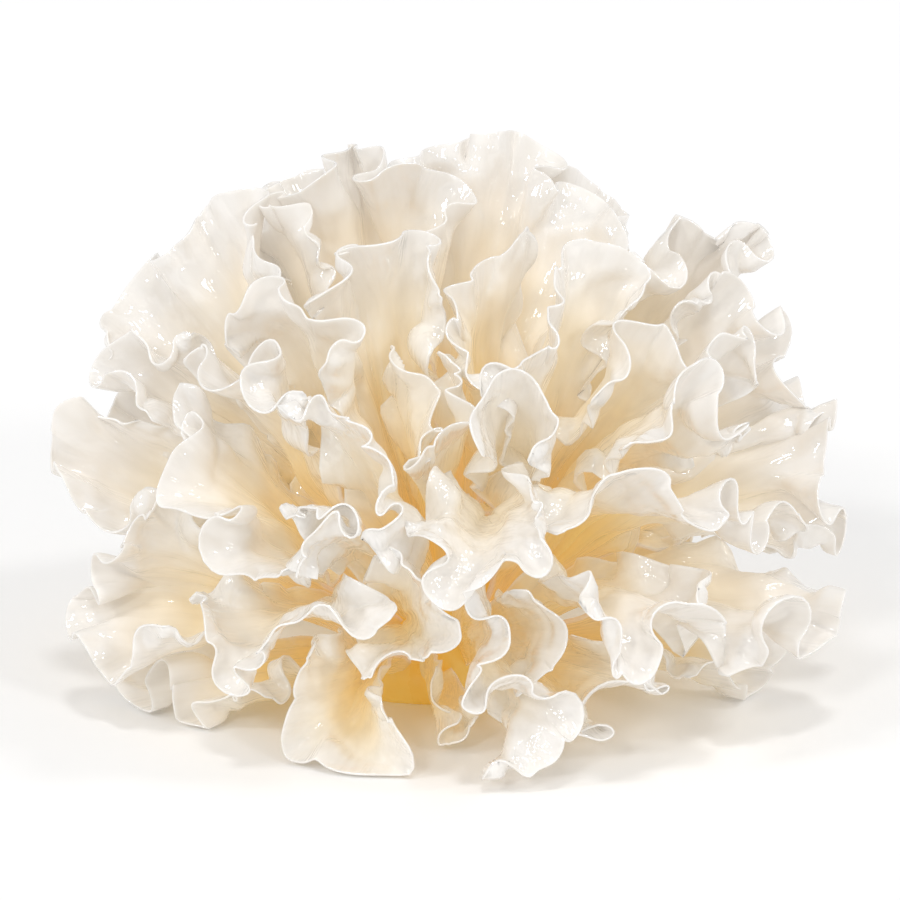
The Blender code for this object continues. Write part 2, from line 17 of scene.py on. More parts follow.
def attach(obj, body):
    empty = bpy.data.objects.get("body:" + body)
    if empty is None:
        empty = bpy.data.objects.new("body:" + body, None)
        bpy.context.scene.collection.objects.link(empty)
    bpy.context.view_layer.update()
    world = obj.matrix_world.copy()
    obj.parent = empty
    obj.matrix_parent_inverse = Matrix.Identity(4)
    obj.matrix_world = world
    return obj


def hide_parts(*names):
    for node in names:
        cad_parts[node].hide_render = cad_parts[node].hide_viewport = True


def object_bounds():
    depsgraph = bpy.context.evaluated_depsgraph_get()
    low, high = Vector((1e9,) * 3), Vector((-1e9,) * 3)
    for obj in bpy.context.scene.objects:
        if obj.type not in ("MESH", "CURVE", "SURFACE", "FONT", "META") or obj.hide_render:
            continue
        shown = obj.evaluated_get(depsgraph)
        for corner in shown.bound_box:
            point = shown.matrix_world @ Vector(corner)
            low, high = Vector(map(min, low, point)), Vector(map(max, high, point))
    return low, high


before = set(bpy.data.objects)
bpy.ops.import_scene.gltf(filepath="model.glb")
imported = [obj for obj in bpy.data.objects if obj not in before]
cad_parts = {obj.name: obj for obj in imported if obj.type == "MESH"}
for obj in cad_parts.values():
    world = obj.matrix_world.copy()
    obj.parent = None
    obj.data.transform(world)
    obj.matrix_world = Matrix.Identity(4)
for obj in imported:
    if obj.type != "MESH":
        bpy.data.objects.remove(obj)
CAD_BOX = [list(corner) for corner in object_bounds()]
MM = 0.001
GROWTH_CENTRE = np.array((0.0, 0.0, 0.004))  # deep in the base, where all fronds start
print("nodes", len(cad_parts), "box", CAD_BOX)

# %% [markdown]
# The head is seen from 18 degrees above the table, about 0.8 m away, which is where a person
# would hold a camera over a plate. The lens follows from how wide the head is in the picture: a
# camera further off with a longer lens would show the same width, but flatter.

# %% Camera
VIEW_ELEVATION = math.radians(18.0)
VIEW_DISTANCE = 0.80
VIEW_AIM = Vector((0.0, 0.0, 0.043))
HEAD_WIDTH = 0.150
PICTURE_PIXELS = 900
HEAD_PIXELS = 818
FRAME_WIDTH = HEAD_WIDTH * PICTURE_PIXELS / HEAD_PIXELS  # what the picture takes in at the head
SENSOR_WIDTH = 36.0  # in millimetres, as the lens is
NEAREST_SEEN = 0.01


def add_camera():
    data = bpy.data.cameras.new("camera")
    camera = bpy.data.objects.new("camera", data)
    bpy.context.scene.collection.objects.link(camera)
    towards = Vector((0.0, -math.cos(VIEW_ELEVATION), math.sin(VIEW_ELEVATION)))
    camera.location = VIEW_AIM + VIEW_DISTANCE * towards
    camera.rotation_euler = (-towards).to_track_quat("-Z", "Y").to_euler()
    data.sensor_width = SENSOR_WIDTH
    data.lens = data.sensor_width * VIEW_DISTANCE / FRAME_WIDTH
    data.clip_start = NEAREST_SEEN
    bpy.context.scene.camera = camera
    return camera


print("lens", round(add_camera().data.lens, 1))

# %% [markdown]
# Folds need soft irregular waves. Blender's own noise can be asked for one point at a time, which
# is slow for half a million. This is plain gradient noise on whole arrays instead: each corner of
# a grid of cells has a direction of its own, and a point blends what its eight corners say.

# %% Noise
SEED = 7
TABLE_SIZE = 256
TRIAL_POINTS = 4000
TRIAL_SPREAD = 20
random = np.random.default_rng(SEED)
CORNER_ORDER = random.permutation(TABLE_SIZE)
CORNER_SLOPES = random.normal(size=(TABLE_SIZE, 3))
CORNER_SLOPES /= np.linalg.norm(CORNER_SLOPES, axis=1, keepdims=True)


def noise(points):
    """Smooth noise of about -0.7 to 0.7, with lumps about one unit across."""
    cell = np.floor(points).astype(int)
    inside = points - cell
    blend = inside * inside * (3.0 - 2.0 * inside)
    total = np.zeros(len(points))
    for corner in np.ndindex(2, 2, 2):
        x, y, z = (cell + corner).T
        picked = CORNER_ORDER[(x + CORNER_ORDER[(y + CORNER_ORDER[z % TABLE_SIZE]) % TABLE_SIZE])
                              % TABLE_SIZE]
        slope = (CORNER_SLOPES[picked] * (inside - corner)).sum(axis=1)
        weight = np.where(np.array(corner) == 1, blend, 1.0 - blend).prod(axis=1)
        total += weight * slope
    return total


trial = noise(random.uniform(0, TRIAL_SPREAD, size=(TRIAL_POINTS, 3)))
print("noise from", round(trial.min(), 2), "to", round(trial.max(), 2))

# %% [markdown]
# Each frond starts from its solid in the model, a thin sheet with two broad sides. Each side is
# a net of five rows and some columns, and a thin strip joins the two all round. The packed mesh
# is loose triangles, so a copy is merged into one skin. The root is where the skin is nearest to
# the base: one row of corners on each side.

# %% Frond skins
MERGE_DISTANCE = 0.02 * MM
NET_ROWS = 5


def merged_skin(name):
    """A node's mesh as one closed skin."""
    skin = bmesh.new()
    skin.from_mesh(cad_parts[name].data)
    bmesh.ops.remove_doubles(skin, verts=skin.verts, dist=MERGE_DISTANCE)
    skin.verts.ensure_lookup_table()
    skin.verts.index_update()
    skin.normal_update()
    return skin


def base_tree():
    """A search tree that finds the nearest place on the base."""
    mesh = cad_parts["base"].data
    places = [vertex.co.copy() for vertex in mesh.vertices]
    return BVHTree.FromPolygons(places, [list(face.vertices) for face in mesh.polygons])


class FrondSkin:
    """A frond's closed skin, and what is known of its corners."""

    def __init__(self, name, base):
        self.shape = merged_skin(name)
        self.places = np.array([corner.co[:] for corner in self.shape.verts])
        self.normals = np.array([corner.normal[:] for corner in self.shape.verts])
        self.from_base = np.array([base.find_nearest(place)[3] for place in self.places])
        self.columns = len(self.places) // (2 * NET_ROWS)
        self.root = np.zeros(len(self.places), bool)
        self.root[np.argsort(self.from_base)[:2 * self.columns]] = True


FROND_NAMES = sorted(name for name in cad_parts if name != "base")
BASE_TREE = base_tree()
SKINS = {name: FrondSkin(name, BASE_TREE) for name in FROND_NAMES}
print("skins", len(SKINS), "columns", sorted({skin.columns for skin in SKINS.values()}))

# %% [markdown]
# To tell the broad sides from the strip, every corner is paired with the one straight across the
# sheet from it. A good partner is near and faces the other way, so the cheapest pairs of all are
# taken first. The root's corners need no partner, because they are already known.

# %% Pairs across a sheet
WIDEST_GAP = 3.0 * MM
LEVEL_FACING = 2.3  # a little over what two corners that face straight away from each other get
TINY = 1e-9  # keeps a division by no length at all from failing


def pair_across(skin):
    """For each corner the one across the sheet from it, and -1 where there is none."""
    places, normals, count = skin.places, skin.normals, len(skin.places)
    apart = (places[None] - places[:, None]) / MM
    length = np.linalg.norm(apart, axis=2) + TINY
    towards = apart / length[..., None]
    facing = (towards * normals[None]).sum(2) - (towards * normals[:, None]).sum(2)
    cost = length * (LEVEL_FACING - facing)
    cost = np.maximum(cost, cost.T)
    cost[skin.root] = np.inf
    cost[:, skin.root] = np.inf
    cost[length > WIDEST_GAP / MM] = np.inf
    np.fill_diagonal(cost, np.inf)
    partner = np.full(count, -1)
    for pick in np.argsort(cost, axis=None)[:np.isfinite(cost).sum()]:
        first, second = divmod(int(pick), count)
        if partner[first] < 0 and partner[second] < 0:
            partner[first], partner[second] = second, first
    return partner


PARTNERS = {name: pair_across(skin) for name, skin in SKINS.items()}
print("pairs", sum(int((partner >= 0).sum()) for partner in PARTNERS.values()) // 2)

# %% [markdown]
# A face that holds a pair belongs to the strip, and so does one that has all its corners at the
# root. What the strip leaves falls apart into patches, and the two largest are the broad sides.

# %% Broad sides


def strip_faces(skin, partner):
    """The faces of the thin strip that joins the two broad sides."""
    strip = set()
    for face in skin.shape.faces:
        corners = [vertex.index for vertex in face.verts]
        paired = any(partner[corner] in corners for corner in corners if partner[corner] >= 0)
        if paired or all(skin.root[corners]):
            strip.add(face)
    for face in list(strip):
        inner = [vertex for vertex in face.verts if skin.root[vertex.index]]
        if len(inner) == 1:
            beside = [other for edge in face.edges if inner[0] in edge.verts
                      for other in edge.link_faces if other != face]
            strip.add(max(beside, key=lambda other: other.normal.dot(face.normal)))
    return strip


def broad_sides(skin, strip):
    """The two largest patches of faces that the strip leaves."""
    seen, patches = set(strip), []
    for first in skin.shape.faces:
        if first in seen:
            continue
        seen.add(first)
        patch = [first]
        for face in patch:
            for other in (other for edge in face.edges for other in edge.link_faces):
                if other not in seen:
                    seen.add(other)
                    patch.append(other)
        patches.append(patch)
    return sorted(patches, key=len)[-2:]


SIDES = {name: broad_sides(skin, strip_faces(skin, PARTNERS[name]))
         for name, skin in SKINS.items()}
print("faces on the broad sides", sum(len(patch) for sides in SIDES.values() for patch in sides))

# %% [markdown]
# Each side is now read as a net. Its outline is walked round, and the stretch nearest to the base
# is the first row. Every next row is found from the one before it, triangle by triangle. The
# frond's own sheet lies midway between its two sides.

# %% Nets


def side_net(patch, skin):
    """Corner numbers of a side as rows from the root to the rim."""
    columns = skin.columns
    ahead = {}
    for face in patch:
        corners = [vertex.index for vertex in face.verts]
        for turn in range(3):
            ahead[corners[turn], corners[turn - 2]] = corners[turn - 1]
    after = {first: second for first, second in ahead if (second, first) not in ahead}
    loop = [next(iter(after))]
    while after[loop[-1]] != loop[0]:
        loop.append(after[loop[-1]])
    around = np.array(loop)
    distances = skin.from_base[around]
    sums = [np.roll(distances, -start)[:columns].sum() for start in range(len(around))]
    loop = list(np.roll(around, -int(np.argmin(sums))))
    rows = [loop[:columns]]
    for number in range(1, NET_ROWS):
        last, row, column = rows[-1], [loop[-number]], 0
        while column < columns - 1 or len(row) < columns:
            third = ahead[row[-1], last[column]]
            if column + 1 < columns and third == last[column + 1]:
                column += 1
            else:
                row.append(third)
        rows.append(row)
    return np.array(rows)


def frond_net(skin, sides):
    """The middle of the frond's sheet as rows and columns of places."""
    front, back = (skin.places[side_net(patch, skin)] for patch in sides)
    return (front + back[:, ::-1]) / 2


NETS = {name: frond_net(skin, SIDES[name]) for name, skin in SKINS.items()}
for skin in SKINS.values():
    skin.shape.free()
print("nets", len(NETS), "places in all", sum(net[..., 0].size for net in NETS.values()))

# %% [markdown]
# A smooth curve goes through a row of points as a bent strip of wood would: its bend changes
# evenly and is nothing at the ends. Such a curve is a sum of the points times weights that
# depend only on how many points there are, so one set of weights serves every row or column.

# %% Smooth curves
HALF_WAY = 1.5  # a trial position, between the second and third of the points


def curve_weights(count, positions):
    """How much each of a row's points counts at each position on a smooth curve through them."""
    # The 4 and the 6 belong to the equations of a cubic curve whose bend changes evenly.
    bend = np.eye(count) * 4.0 + np.eye(count, k=1) + np.eye(count, k=-1)
    pull = 6.0 * (np.eye(count, k=1) + np.eye(count, k=-1) - 2.0 * np.eye(count))
    for end in (0, -1):
        bend[end] = np.eye(count)[end]
        pull[end] = 0.0
    curving = np.linalg.solve(bend, pull)
    start = np.clip(np.floor(positions).astype(int), 0, count - 2)
    ahead = (positions - start)[:, None]
    behind = 1.0 - ahead
    points = np.eye(count)
    return (behind * points[start] + ahead * points[start + 1]
            + ((behind ** 3 - behind) * curving[start] + (ahead ** 3 - ahead) * curving[start + 1])
            / 6.0)


print("weights half way", curve_weights(NET_ROWS, np.array([HALF_WAY])).round(2).tolist())

# %% [markdown]
# A fine sheet is drawn through each net with such curves both ways. Its columns are less than
# half a millimetre apart at the rim, and its rows crowd towards the rim, where the folds will be.

# %% Fine sheets
COLUMN_STEP = 0.46 * MM
FINE_ROWS = 44
ROWS_TO_RIM = 1.55  # over one, the rows crowd towards the rim
RIM_SAMPLES = 40  # for each column, to measure the rim's length


def fine_weights(net):
    """The weights that make a fine sheet of a net, down its rows and along its columns."""
    columns = net.shape[1]
    dense = np.linspace(0, columns - 1, RIM_SAMPLES * columns)
    rim = curve_weights(columns, dense) @ net[-1]
    length = np.concatenate(([0.0], np.linalg.norm(np.diff(rim, axis=0), axis=1).cumsum()))
    steps = int(length[-1] / COLUMN_STEP)
    across = np.interp(np.linspace(0, length[-1], steps + 1), length, dense)
    down = (NET_ROWS - 1) * (1.0 - (1.0 - np.linspace(0, 1, FINE_ROWS + 1)) ** ROWS_TO_RIM)
    return curve_weights(NET_ROWS, down), curve_weights(columns, across)


def fine_sheet(name):
    """A frond's sheet before it is folded, as fine rows and columns of places."""
    down, across = fine_weights(NETS[name])
    return np.einsum("ri,cj,ijk->rck", down, across, NETS[name])


TRIAL_SHEET = fine_sheet("frond_trumpet")
print("frond_trumpet's fine sheet", TRIAL_SHEET.shape[:2])

# %% [markdown]
# Folding starts at the free edge, which runs up one side of the frond, round its rim and down
# the other side. So each place in the sheet first gets its distance from that edge, how far along
# the edge it is, and three directions: off the sheet, along the edge and out past it. Where two
# sides of a narrow frond meet, the directions are blended, so that no fold has a crease.

# %% The free edge
EDGE_SOFTNESS = 0.3 * MM
EDGE_POWER = 3.0  # the higher, the more the nearest side alone counts
MOST_CROWDED = 2.3  # where waves of both sides would be squeezed this close, there are none


def unit_rows(vectors):
    return vectors / np.maximum(np.linalg.norm(vectors, axis=-1, keepdims=True), TINY)


def run_lengths(places, axis):
    """Lengths run from the start of the rows or columns."""
    steps = np.linalg.norm(np.diff(places, axis=axis), axis=-1)
    start = np.zeros_like(steps[:1] if axis == 0 else steps[:, :1])
    return np.concatenate((start, steps.cumsum(axis=axis)), axis=axis)


class EdgeFrame:
    """For each place of a fine sheet, where it is from the free edge and its three directions."""

    def __init__(self, places):
        upward = run_lengths(places, 0)
        across = run_lengths(places, 1)
        from_sides = [across, across[:, -1:] - across, upward[-1:] - upward]
        left, right, rim = upward[:, :1], upward[:, -1:], across[-1:]
        round_edge = [left, left[-1] + rim[:, -1:] + right[-1] - right, left[-1] + rim]
        climb = unit_rows(np.gradient(places, axis=0))
        sweep = unit_rows(np.gradient(places, axis=1))
        near = [(distance + EDGE_SOFTNESS) ** -EDGE_POWER for distance in from_sides]
        total = sum(near)
        self.edge = total ** (-1.0 / EDGE_POWER)
        self.along = sum(share * run for share, run in zip(near, round_edge)) / total
        directions = (climb, -climb, sweep)
        blended = sum(share[..., None] * way for share, way in zip(near, directions))
        self.normal = unit_rows(np.cross(sweep, climb))
        crowding = np.hypot(np.gradient(self.along, axis=1) / np.gradient(across, axis=1),
                            np.gradient(self.along, axis=0) / np.gradient(upward, axis=0))
        self.room = np.clip(MOST_CROWDED - crowding, 0.0, 1.0)
        self.along_way = unit_rows(blended)
        self.out_way = np.cross(self.normal, self.along_way)


TRIAL_EDGE = EdgeFrame(TRIAL_SHEET)
print("frond_trumpet's free edge", round(TRIAL_EDGE.along.max() / MM), "mm long")

# %% [markdown]
# The free edge is too long for the middle of the sheet, so it throws waves, then smaller waves
# on those. Each wave is strongest at the edge and dies away inwards over about half its length.
# It leans over a little each way, which gives the rounded folds of a ribbon, and its crests
# wander, because a wave as regular as a sine looks like cloth from a machine.

# %% Waves
WAVES = (  # length, height, how far in it reaches, how far it leans over, in millimetres
    (19.0, 1.9, 9.5, 1.0),
    (10.5, 1.5, 6.5, 0.45),
    (5.6, 0.40, 4.0, 0.0),
)
WAVE_FADE = 1.4  # over one, a wave keeps its height for a while before it dies away
WANDER = 2.0  # in radians of the wave, times the noise
WANDER_LENGTH = 1.3  # in wavelengths
BACK_SHARE = 1.7  # the fronds on the far side are plainer solids, so they get higher waves
UNEVEN_SIZE = 24.0 * MM
UNEVENNESS = 1.6
UNEVEN_RANGE = (0.25, 1.8)
UNEVEN_SHIFT = 9.0  # a shift reads the noise in another place, so that no two folds match
FULL_TURN = 2 * math.pi
TRIAL_SHIFT = np.zeros(3)


def noise_on(places, size, shift):
    """Noise at the places of a fine sheet, with lumps of this size."""
    return noise((places / size + shift).reshape(-1, 3)).reshape(places.shape[:-1])


def noise_along(along, size, shift):
    """Noise that changes only along the edge."""
    places = np.stack((along / size, np.zeros_like(along), np.zeros_like(along)), axis=-1)
    return noise_on(places, 1.0, shift)


def waves(places, around, back, shift, own):
    """How far each place moves off the sheet and along the edge in the waves."""
    uneven = 1.0 + UNEVENNESS * noise_on(places, UNEVEN_SIZE, shift + UNEVEN_SHIFT)
    uneven = np.clip(uneven, *UNEVEN_RANGE) * (BACK_SHARE if back else 1.0)
    height = np.zeros_like(around.edge)
    lean = np.zeros_like(around.edge)
    for length, wave_height, fade, lean_height in WAVES:
        wander = WANDER * noise_along(around.along, WANDER_LENGTH * length * MM, shift + length)
        phase = FULL_TURN * around.along / (length * MM) + wander + own.uniform(0, FULL_TURN)
        fall = uneven * around.room * np.exp(-((around.edge / (fade * MM)) ** WAVE_FADE))
        height += wave_height * MM * np.sin(phase) * fall
        lean -= lean_height * MM * np.sin(2.0 * phase) * fall
    return height, lean


def highest(heights):
    return round(np.abs(heights).max() / MM, 1)


trial = waves(TRIAL_SHEET, TRIAL_EDGE, False, TRIAL_SHIFT, np.random.default_rng(SEED))
print("waves up to", highest(trial[0]), "mm high, leaning up to", highest(trial[1]), "mm")

# %% [markdown]
# The lip flares to one side or the other over long stretches, and a fine crinkle runs right
# along it. It also grows out past the solid, further in some places than in others, so that the
# rim is scalloped and not cut to one length.

# %% Lip
SWING = 2.0  # brings the noise up to about one at its peaks
FLARE_LENGTH = 26.0 * MM
FLARE_HEIGHT = 4.6 * MM
FLARE_REACH = 7.5 * MM
FLARE_SIDES = (-0.35, 0.35)  # a frond's lip leans to one side or the other as a whole
FLARE_SHIFT = 3.0
CRINKLE_SIZE = 3.2 * MM
CRINKLE_HEIGHT = 0.18 * MM
CRINKLE_REACH = 5.0 * MM
FULLNESS = 1.5 * MM  # how far the rim has grown out past its solid, all along
SCALLOP_LENGTH = 7.0 * MM
SCALLOP_HEIGHT = 1.1 * MM
SCALLOP_SHIFT = 11.0


def lip_height(places, around, shift, own):
    """How far each place moves off the sheet as the lip flares and crinkles."""
    flare = SWING * noise_along(around.along, FLARE_LENGTH, shift + FLARE_SHIFT)
    flare += own.choice(FLARE_SIDES)
    crinkle = SWING * noise_on(places, CRINKLE_SIZE, shift)
    return (FLARE_HEIGHT * flare * np.exp(-around.edge / FLARE_REACH)
            + CRINKLE_HEIGHT * crinkle * np.exp(-around.edge / CRINKLE_REACH))


def lip_growth(around, shift):
    """How far each place moves out past the solid."""
    scallop = SWING * noise_along(around.along, SCALLOP_LENGTH, shift + SCALLOP_SHIFT)
    return (FULLNESS + SCALLOP_HEIGHT * scallop) * np.exp(-around.edge / FLARE_REACH)


trial = lip_height(TRIAL_SHEET, TRIAL_EDGE, TRIAL_SHIFT, np.random.default_rng(SEED))
print("lip up to", highest(trial), "mm high, grown out by up to",
      highest(lip_growth(TRIAL_EDGE, TRIAL_SHIFT)), "mm")

# %% [markdown]
# The skin itself is never flat. Low lumps bend the whole sheet, long soft pleats run from the
# root outwards, and patches of it are crumpled. The crumple is the noise turned into ridges:
# wherever the noise crosses zero, the skin has a rounded ridge.

# %% Skin
LUMPS = ((20.0, 1.6), (9.0, 0.8))  # size and height in millimetres
PLEATS_AROUND = 26.0  # pleats in a radian, seen from the growth centre
PLEATS_ALONG = 12.0  # in a metre
PLEAT_HEIGHT = 0.45 * MM
CRUMPLE_SIZE = 4.2 * MM
CRUMPLE_HEIGHT = 0.32 * MM
CRUMPLE_ROUNDING = 0.16  # the higher, the rounder the tops of the ridges
CRUMPLE_STEEPNESS = 4.0
CRUMPLE_SHIFT = 7.0
PATCH_SIZE = 16.0 * MM
PATCH_MIDDLE = 0.6
PATCH_CONTRAST = 2.5
PATCH_SHIFT = 5.0


def from_growth_centre(places):
    """Each place's distance from where the fronds start, and the direction from there."""
    from_centre = places - GROWTH_CENTRE
    reach = np.linalg.norm(from_centre, axis=-1)
    return reach, from_centre / reach[..., None]


def skin_height(places, shift):
    """How far each place moves off the sheet in crumples, pleats and lumps."""
    reach, outward = from_growth_centre(places)
    patch = PATCH_CONTRAST * noise_on(places, PATCH_SIZE, shift + PATCH_SHIFT)
    patch = np.clip(PATCH_MIDDLE + patch, 0.0, 1.0)
    folded = np.hypot(noise_on(places, CRUMPLE_SIZE, shift + CRUMPLE_SHIFT), CRUMPLE_ROUNDING)
    height = CRUMPLE_HEIGHT * (1.0 - CRUMPLE_STEEPNESS * folded) * patch
    fan = outward * PLEATS_AROUND + reach[..., None] * PLEATS_ALONG
    height += PLEAT_HEIGHT * SWING * noise_on(fan, 1.0, shift)
    for size, lump_height in LUMPS:
        height += lump_height * MM * SWING * noise_on(places, size * MM, shift)
    return height


print("skin up to", highest(skin_height(TRIAL_SHEET, TRIAL_SHIFT)), "mm off the sheet")

# %% [markdown]
# A folded tip could reach past the model's box, and the model's size is the real one. So over
# the last few millimetres before the box a tip is slowed down more and more, which squeezes it
# softly and leaves no flat cut.

# %% Keeping the size
BOX_GAP = 0.75 * MM
BOX_EASE = 5.0 * MM  # over this stretch a tip is slowed down before it reaches the box
FLOOR_EASE = 1.5 * MM
TRIAL_PAST = 10.0 * MM


def eased_into_box(places):
    """Places past the CAD box's sides drawn smoothly back inside it."""
    low, high = np.array(CAD_BOX)
    for axis in range(3):
        limit = high[axis] - BOX_GAP
        past = np.maximum(places[..., axis] - (limit - BOX_EASE), 0.0)
        places[..., axis] -= past - BOX_EASE * (1.0 - np.exp(-past / BOX_EASE))
        ease = BOX_EASE if axis < 2 else FLOOR_EASE
        limit = low[axis] + BOX_GAP
        past = np.maximum((limit + ease) - places[..., axis], 0.0)
        places[..., axis] += past - ease * (1.0 - np.exp(-past / ease))
    return places


trial = eased_into_box(np.array(CAD_BOX[1:]) + TRIAL_PAST)
print("a tip", TRIAL_PAST / MM, "mm past the box ends", highest(CAD_BOX[1] - trial), "mm inside it")

# %% [markdown]
# All the folds are added up and given to the sheet at once, because folding a folded sheet would
# need its directions to be found again. Close to the base, where the fronds are packed, nothing
# moves. Each frond has a random generator of its own, so changing one leaves the others alone.

# %% Folding
CALM_REACH = 22.0 * MM  # out to here nothing moves, and from twice this far all of it does
SHIFT_SPREAD = 50  # in lumps of noise, so that no two fronds get the same folds


def ruffle(places, number, back):
    """The places of a fine sheet moved into folds, and their distances from the free edge."""
    around = EdgeFrame(places)
    own = np.random.default_rng(SEED + number)
    shift = own.uniform(0, SHIFT_SPREAD, size=3)
    reach = from_growth_centre(places)[0]
    grown = np.clip((reach - CALM_REACH) / CALM_REACH, 0.0, 1.0)
    height, lean = waves(places, around, back, shift, own)
    height += lip_height(places, around, shift, own)
    height += skin_height(places, shift)
    moved = (places + around.normal * (height * grown)[..., None]
             + around.along_way * (lean * grown)[..., None]
             + around.out_way * (lip_growth(around, shift) * grown)[..., None])
    return eased_into_box(moved), around.edge


trial = ruffle(TRIAL_SHEET, FROND_NAMES.index("frond_trumpet"), False)[0]
moved_by = highest(np.linalg.norm(trial - TRIAL_SHEET, axis=-1))
print("frond_trumpet's places move by up to", moved_by, "mm")

# %% [markdown]
# The sheet becomes a mesh: a plain grid with the right number of rows and columns, whose
# vertices are put in place. Solidify gives it its flesh, thick at the root and thin at the rim,
# as a vertex group says. Each vertex keeps its distance from the free edge in an attribute,
# which the material will read.

# %% Fine fronds
ROOT_FLESH = 1.3 * MM
SHEET_FLESH = 0.95 * MM
RIM_FLESH = 0.32 * MM
RIM_TAPER = 7.0 * MM
ROOT_TAPER = 3  # the higher, the closer to the root the thick flesh stays


def make_active(piece):
    bpy.ops.object.select_all(action="DESELECT")
    piece.select_set(True)
    bpy.context.view_layer.objects.active = piece


def flesh_shares(edge):
    """How thick the flesh is at each place, as a share of what it is at the root."""
    middle = RIM_FLESH + (SHEET_FLESH - RIM_FLESH) * np.clip(edge / RIM_TAPER, 0.0, 1.0)
    rooted = np.linspace(1.0, 0.0, len(edge))[:, None] ** ROOT_TAPER
    return (middle + (ROOT_FLESH - middle) * rooted) / ROOT_FLESH


def give_flesh(piece, edge):
    """Two sides and a thin rim for a sheet that had only one side."""
    group = piece.vertex_groups.new(name="flesh")
    for index, share in enumerate(flesh_shares(edge).ravel()):
        group.add([index], float(share), "REPLACE")
    thick = piece.modifiers.new("thick", "SOLIDIFY")
    thick.thickness = ROOT_FLESH
    thick.offset = 0.0
    thick.vertex_group = group.name
    make_active(piece)
    bpy.ops.object.modifier_apply(modifier=thick.name)


def fine_frond(name, number):
    """A frond as a fine ruffled sheet with two sides and a thin rim."""
    places, edge = ruffle(fine_sheet(name), number, "back" in name)
    rows, columns = edge.shape
    bpy.ops.mesh.primitive_grid_add(x_subdivisions=columns - 1, y_subdivisions=rows - 1,
                                    size=1.0, calc_uvs=False)
    piece = bpy.context.active_object
    piece.name = "fine_" + name
    mesh = piece.data
    mesh.name = piece.name
    mesh.vertices.foreach_set("co", places.astype(np.float32).ravel())
    distances = mesh.attributes.new("edge_distance", "FLOAT", "POINT")
    distances.data.foreach_set("value", (edge / MM).astype(np.float32).ravel())
    give_flesh(piece, edge)
    mesh.shade_smooth()
    return piece


FRONDS = {name: fine_frond(name, number) for number, name in enumerate(FROND_NAMES)}
print("fronds", len(FRONDS), "faces", sum(len(piece.data.polygons) for piece in FRONDS.values()))

# %% [markdown]
# The materials are built from nodes in code. These short calls add a node, fill its sockets
# with values or links, and give back its output, so that a material reads from top to bottom.

# %% Node calls
MIX_FIRST = 6  # a colour mix's sockets, which share their names with its other kinds'
MIX_SECOND = 7
MIX_RESULT = 2


class Nodes:
    """Short calls to add and join shader nodes."""

    def __init__(self, name):
        self.material = bpy.data.materials.new(name)
        self.material.use_nodes = True
        self.tree = self.material.node_tree
        self.shader = self.tree.nodes["Principled BSDF"]

    def add(self, kind, inputs=(), **settings):
        node = self.tree.nodes.new(kind)
        for key, value in settings.items():
            setattr(node, key, value)
        for socket, value in dict(inputs).items():
            self.put(value, node.inputs[socket])
        return node

    def put(self, value, socket):
        if isinstance(value, bpy.types.NodeSocket):
            self.tree.links.new(value, socket)
        else:
            socket.default_value = value

    def finish_with(self, **values):
        """Values and links for the shader's sockets, named with _ for each space."""
        for name, value in values.items():
            self.put(value, self.shader.inputs[name.replace("_", " ")])

    def math(self, operation, first, second=0.0):
        return self.add("ShaderNodeMath", {0: first, 1: second}, operation=operation).outputs[0]

    def vector(self, operation, first, second=(0.0, 0.0, 0.0)):
        node = self.add("ShaderNodeVectorMath", {0: first, 1: second}, operation=operation)
        return node.outputs["Value" if operation == "LENGTH" else "Vector"]

    def scaled(self, vector, scale):
        node = self.add("ShaderNodeVectorMath", {0: vector, "Scale": scale}, operation="SCALE")
        return node.outputs["Vector"]

    def noise(self, vector, scale, detail, roughness):
        inputs = {"Vector": vector, "Scale": scale, "Detail": detail, "Roughness": roughness}
        return self.add("ShaderNodeTexNoise", inputs).outputs["Fac"]

    def span(self, value, low, high, to_low=0.0, to_high=1.0, smooth=False):
        node = self.add("ShaderNodeMapRange", {
            "Value": value, "From Min": low, "From Max": high, "To Min": to_low, "To Max": to_high})
        if smooth:
            node.interpolation_type = "SMOOTHSTEP"
        return node.outputs["Result"]

    def mix(self, share, first, second, blend="MIX"):
        node = self.add("ShaderNodeMix", data_type="RGBA", blend_type=blend)
        self.put(share, node.inputs["Factor"])
        self.put(first, node.inputs[MIX_FIRST])
        self.put(second, node.inputs[MIX_SECOND])
        return node.outputs[MIX_RESULT]

    def ramp(self, value, stops):
        node = self.add("ShaderNodeValToRGB", {"Fac": value})
        elements = node.color_ramp.elements
        while len(elements) < len(stops):
            elements.new(0.5)
        for element, (position, colour) in zip(elements, stops):
            element.position = position
            element.color = colour
        return node.outputs["Color"]

    def bump(self, strength, depth, height, **under):
        inputs = {"Strength": strength, "Distance": depth, "Height": height, **under}
        return self.add("ShaderNodeBump", inputs).outputs["Normal"]


class Places:
    """Where a point of the surface is, for the patterns that follow the growth."""

    def __init__(self, n):
        self.place = n.add("ShaderNodeTexCoord").outputs["Object"]
        self.from_centre = n.vector("SUBTRACT", self.place, tuple(GROWTH_CENTRE))
        self.outward = n.vector("NORMALIZE", self.from_centre)
        self.edge = n.add("ShaderNodeAttribute", attribute_name="edge_distance").outputs["Fac"]


print("calls", [name for name in vars(Nodes) if not name.startswith("_")])
